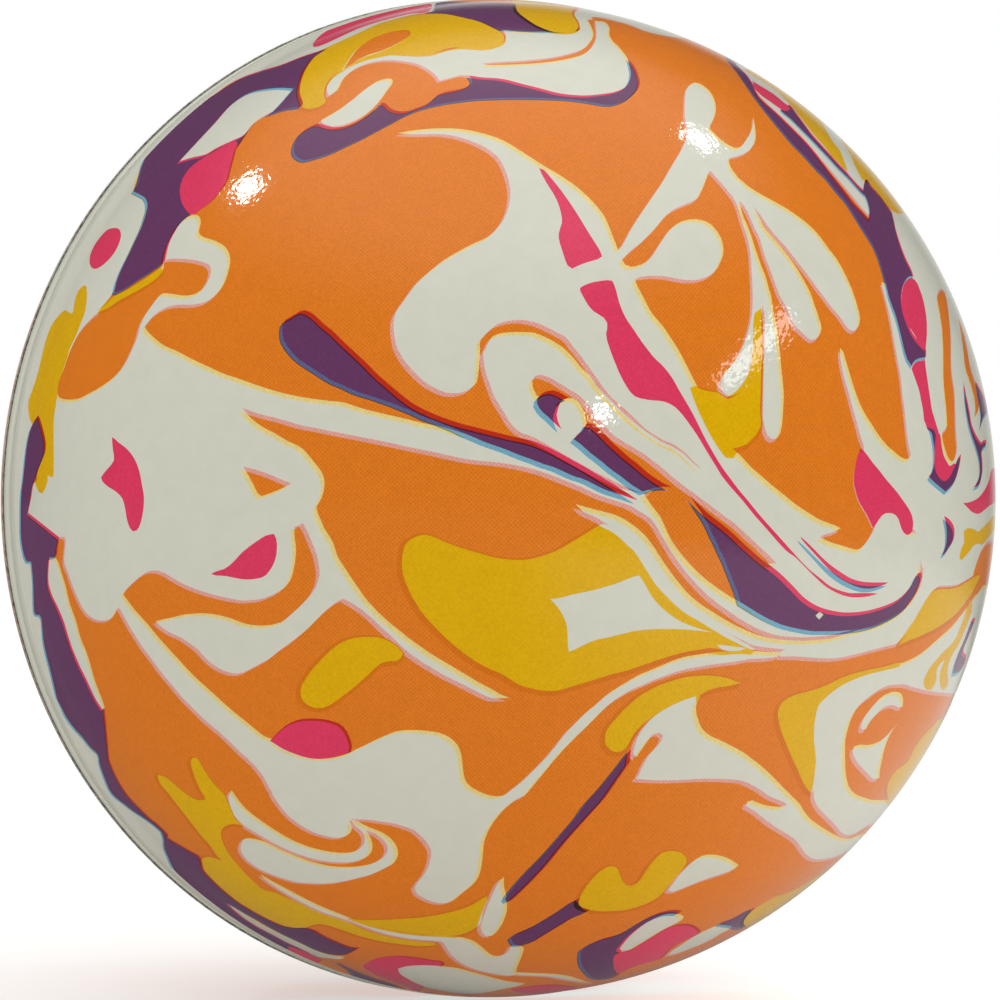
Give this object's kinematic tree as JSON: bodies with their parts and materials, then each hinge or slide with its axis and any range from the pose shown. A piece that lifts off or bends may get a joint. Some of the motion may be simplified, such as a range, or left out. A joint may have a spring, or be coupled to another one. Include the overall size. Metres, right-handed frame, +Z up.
{
  "type": "bouncy ball",
  "caption": "Round moulded foam play ball with a glossy marbled print on a film over each half and a plain white band at the parting line.",
  "frame": {"origin": "centre of the ball", "axes": "+Y along the mould's opening direction, from the front film's pole to the back film's pole; +Z up; the parting plane is XZ"},
  "size_m": [0.0634, 0.063, 0.0634],
  "materials": {
    "foam": "open-cell flexible polyurethane foam",
    "rind": "dense moulded polyurethane skin, satin",
    "white_coat": "white in-mould coat, gloss",
    "front_film": "transfer film printed in four colours with a marbled pattern, gloss",
    "back_film": "transfer film printed in four colours with a marbled pattern, gloss"
  },
  "bodies": {
    "root": {"foam_core": "foam", "dense_rind": "rind", "base_coat_front": "white_coat", "base_coat_back": "white_coat", "printed_film_front": "front_film", "printed_film_back": "back_film"}
  },
  "joints": []
}
